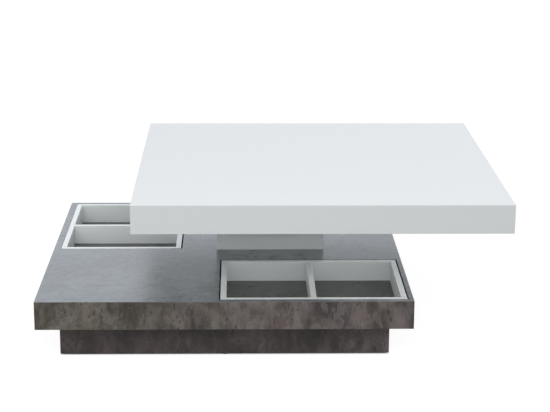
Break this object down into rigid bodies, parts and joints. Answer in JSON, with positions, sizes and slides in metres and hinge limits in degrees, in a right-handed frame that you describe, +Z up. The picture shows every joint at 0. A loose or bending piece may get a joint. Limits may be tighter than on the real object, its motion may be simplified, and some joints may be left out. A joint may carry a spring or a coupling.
{
  "type": "swivel coffee table",
  "caption": "Low square coffee table whose thick white gloss top swivels on an off-centre pedestal over a stone-look base with drop-in storage trays.",
  "frame": {"origin": "on the floor under the middle of the square base, at the middle glide's lower face", "axes": "+Z up; +X to the right, the way the top stands out when it is a quarter turn open; +Y to the back"},
  "size_m": [0.98, 0.78, 0.336],
  "materials": {
    "stone_decor": "stone-look melamine decor",
    "white_gloss": "high-gloss lacquer",
    "white_gloss_edge": "high-gloss edge band",
    "white_satin": "satin lacquer",
    "raw_board": "raw particle board",
    "honeycomb_paper": "kraft paper",
    "beech": "plain",
    "zinc_steel": "zinc plated",
    "bright_steel": "polished",
    "nylon": "plain"
  },
  "bodies": {
    "base": {"base_apron_back": "stone_decor", "base_apron_front": "stone_decor", "base_apron_left": "stone_decor", "base_apron_right": "stone_decor", "base_bottom_panel": "stone_decor", "base_core_block": "raw_board", "base_deck_panel": "stone_decor", "base_front_pocket_strip": "stone_decor", "base_pocket_rails": "stone_decor", "base_rear_pocket_strip": "stone_decor", "base_ribs": "raw_board", "floor_glides": "nylon", "pedestal_back": "white_gloss", "pedestal_bolts": "zinc_steel", "pedestal_cap": "raw_board", "pedestal_foot": "raw_board", "pedestal_front": "white_gloss", "pedestal_inserts": "zinc_steel", "pedestal_left": "white_gloss", "pedestal_right": "white_gloss", "plinth_back": "stone_decor", "plinth_block_screws": "zinc_steel", "plinth_corner_blocks": "raw_board", "plinth_cross_rail": "raw_board", "plinth_deck_screws": "zinc_steel", "plinth_dowels": "beech", "plinth_front": "stone_decor", "plinth_left": "stone_decor", "plinth_right": "stone_decor", "swivel_lower_plate": "zinc_steel", "swivel_lower_screws": "zinc_steel"},
    "tabletop": {"swivel_sleeve": "zinc_steel", "swivel_upper_plate": "zinc_steel", "swivel_upper_screws": "zinc_steel", "tabletop_bottom_skin": "white_gloss", "tabletop_edge_back": "white_gloss_edge", "tabletop_edge_front": "white_gloss_edge", "tabletop_edge_left": "white_gloss_edge", "tabletop_edge_right": "white_gloss_edge", "tabletop_frame_back": "raw_board", "tabletop_frame_front": "raw_board", "tabletop_frame_left": "raw_board", "tabletop_frame_right": "raw_board", "tabletop_honeycomb_core": "honeycomb_paper", "tabletop_swivel_block": "raw_board", "tabletop_top_skin": "white_gloss"},
    "ball_ring": {"swivel_ball_cage": "nylon", "swivel_balls": "bright_steel"},
    "front_tray": {"front_tray_back_side": "white_satin", "front_tray_divider": "white_satin", "front_tray_dowels": "beech", "front_tray_front_side": "white_satin", "front_tray_left_end": "white_satin", "front_tray_right_end": "white_satin"},
    "rear_tray": {"rear_tray_back_end": "white_satin", "rear_tray_divider": "white_satin", "rear_tray_dowels": "beech", "rear_tray_front_end": "white_satin", "rear_tray_left_side": "white_satin", "rear_tray_right_side": "white_satin"}
  },
  "joints": [
    {"name": "top_swivel", "type": "hinge", "parent": "base", "child": "tabletop", "pos_m": [0.1, 0.1, 0.2715], "axis": [0, 0, 1], "continuous": true},
    {"name": "ball_ring_turn", "type": "hinge", "parent": "base", "child": "ball_ring", "pos_m": [0.1, 0.1, 0.2715], "axis": [0, 0, 1], "continuous": true},
    {"name": "front_tray_lift", "type": "slide", "parent": "base", "child": "front_tray", "axis": [0, 0, 1], "range_m": [0, 0.09]},
    {"name": "rear_tray_lift", "type": "slide", "parent": "base", "child": "rear_tray", "axis": [0, 0, 1], "range_m": [0, 0.09]}
  ],
  "couplings": [
    {"joint": "ball_ring_turn", "follows": "top_swivel", "ratio": 0.5}
  ]
}
